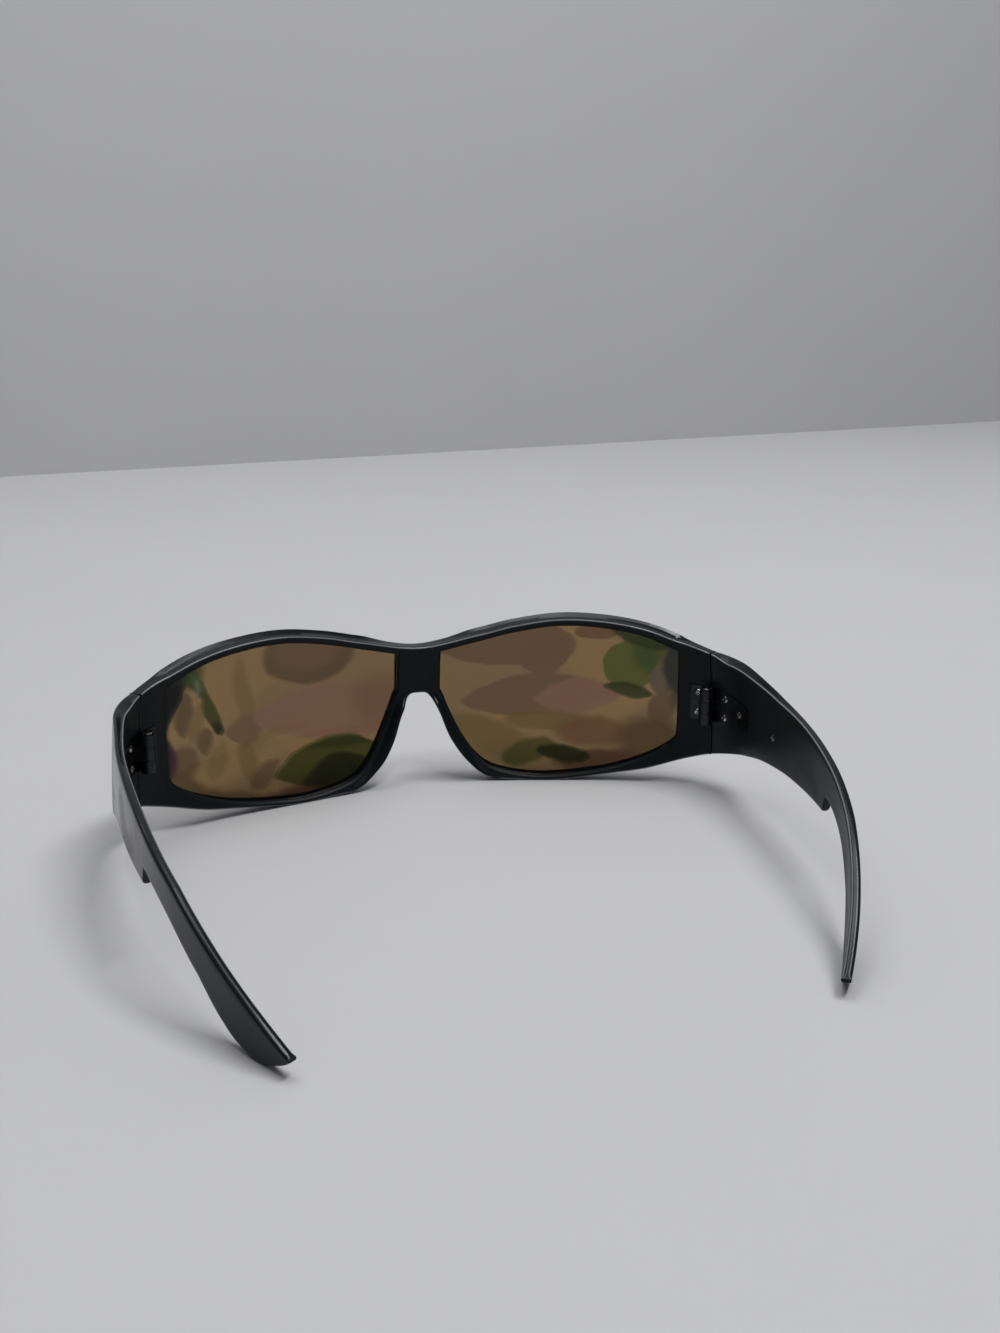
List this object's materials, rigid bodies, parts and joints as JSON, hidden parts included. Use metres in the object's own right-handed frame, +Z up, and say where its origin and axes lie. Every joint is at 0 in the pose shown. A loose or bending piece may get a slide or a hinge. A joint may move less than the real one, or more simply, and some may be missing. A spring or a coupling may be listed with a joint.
{
  "type": "wraparound sunglasses",
  "caption": "Wraparound sunglasses: a curved black front with two tinted lenses, wide folding temples on steel hinges, tips drawn in and down behind the ears.",
  "frame": {"origin": "On the ground plane, in the middle of the object's width and of its depth from the front's foremost point to the temple tips' rear ends.", "axes": "+X to the wearer's left, +Y from the front back along the temples, +Z up, with the glasses open and standing on the rims' lower edges and the temple tips."},
  "size_m": [0.1532, 0.1348, 0.0435],
  "materials": {
    "frame_plastic": "black moulded nylon, glossy on the front, satin inside the temples",
    "lens_tint": "brown tinted plastic lens with smooth faces",
    "hinge_metal": "blackened steel hinge leaves",
    "bright_metal": "bright steel rivets and screws"
  },
  "bodies": {
    "front": {"front_frame": "frame_plastic", "lens_left": "lens_tint", "lens_right": "lens_tint", "front_hinge_left": "hinge_metal", "front_hinge_right": "hinge_metal", "hinge_screw_left": "bright_metal", "hinge_screw_right": "bright_metal", "front_rivets_left": "bright_metal", "front_rivets_right": "bright_metal"},
    "temple_left": {"temple_left": "frame_plastic", "temple_hinge_left": "hinge_metal", "temple_rivets_left": "bright_metal"},
    "temple_right": {"temple_right": "frame_plastic", "temple_hinge_right": "hinge_metal", "temple_rivets_right": "bright_metal"}
  },
  "joints": [
    {"name": "temple_left_fold", "type": "hinge", "parent": "front", "child": "temple_left", "pos_m": [0.06811, -0.03772, 0.022], "axis": [0, 0, 1], "range_deg": [0, 88]},
    {"name": "temple_right_fold", "type": "hinge", "parent": "front", "child": "temple_right", "pos_m": [-0.06811, -0.03772, 0.022], "axis": [0, 0, -1], "range_deg": [0, 78]}
  ]
}
